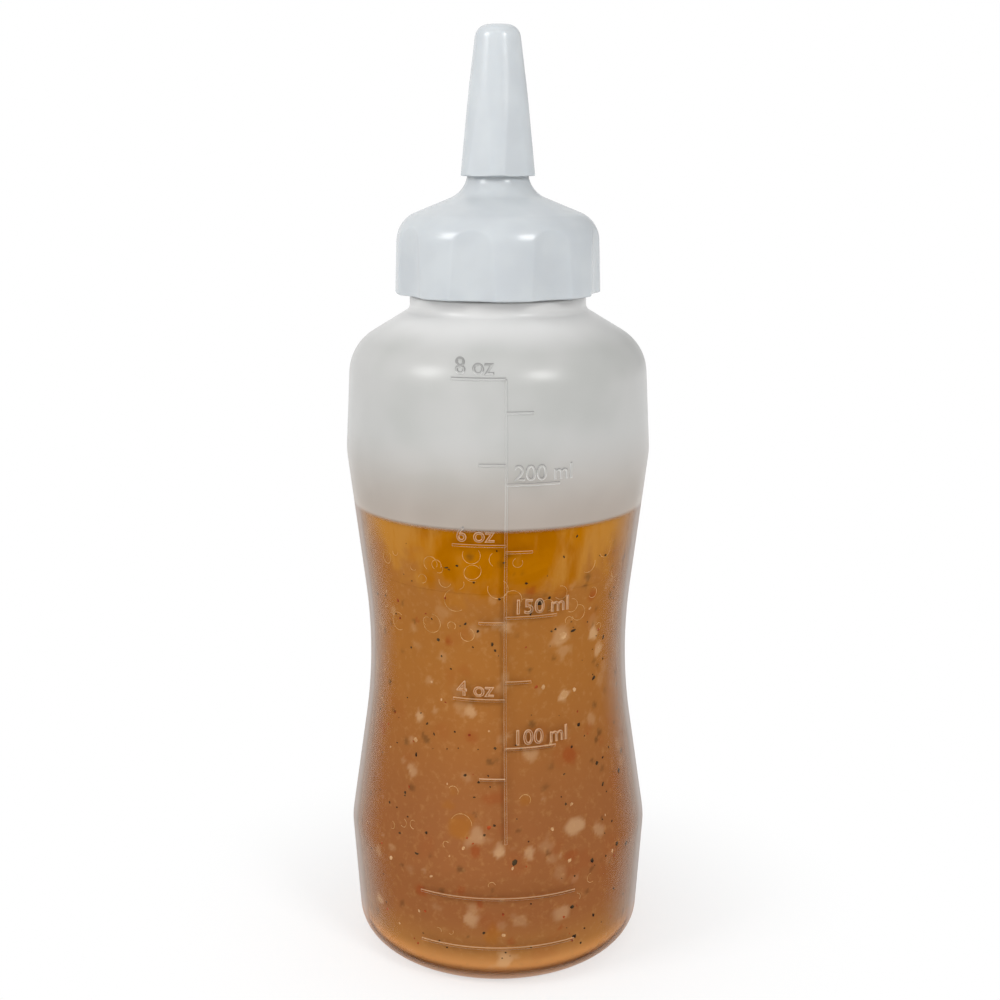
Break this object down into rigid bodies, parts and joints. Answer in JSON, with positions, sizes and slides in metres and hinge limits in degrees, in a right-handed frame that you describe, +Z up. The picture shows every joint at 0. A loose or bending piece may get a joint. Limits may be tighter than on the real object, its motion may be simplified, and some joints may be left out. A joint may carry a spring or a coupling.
{
  "type": "sauce dispensing bottle",
  "caption": "Waisted translucent squeeze bottle of sauce with a raised volume scale, a fluted screw closure, a tapered dispensing nozzle and a push-on tip cap.",
  "frame": {"origin": "centre of the flat ring that the bottle stands on", "axes": "+Z up the bottle's axis to the tip cap; -Y is the side with the volume scale"},
  "size_m": [0.057, 0.057, 0.1725],
  "materials": {
    "natural_polyethylene": "translucent, satin",
    "milky_polyethylene": "milky, semi-gloss",
    "silicone": "matt",
    "dressing": "wet, opaque",
    "oil": "wet, clear amber"
  },
  "bodies": {
    "bottle": {"bottle": "natural_polyethylene", "dressing": "dressing", "oil_layer": "oil"},
    "seal_ring": {"seal_ring": "silicone"},
    "closure": {"closure": "milky_polyethylene"},
    "tip_cap": {"tip_cap": "milky_polyethylene"}
  },
  "joints": [
    {"name": "closure_lift", "type": "slide", "parent": "bottle", "child": "seal_ring", "axis": [0, 0, 1], "range_m": [0, 0.0127]},
    {"name": "closure_turn", "type": "hinge", "parent": "seal_ring", "child": "closure", "pos_m": [0, 0, 0.136], "axis": [0, 0, 1], "range_deg": [0, 1080]},
    {"name": "tip_cap_pull", "type": "slide", "parent": "closure", "child": "tip_cap", "axis": [0, 0, 1], "range_m": [0, 0.03]}
  ],
  "couplings": [
    {"joint": "closure_lift", "follows": "closure_turn", "m_per_rad": 0.00066845}
  ]
}
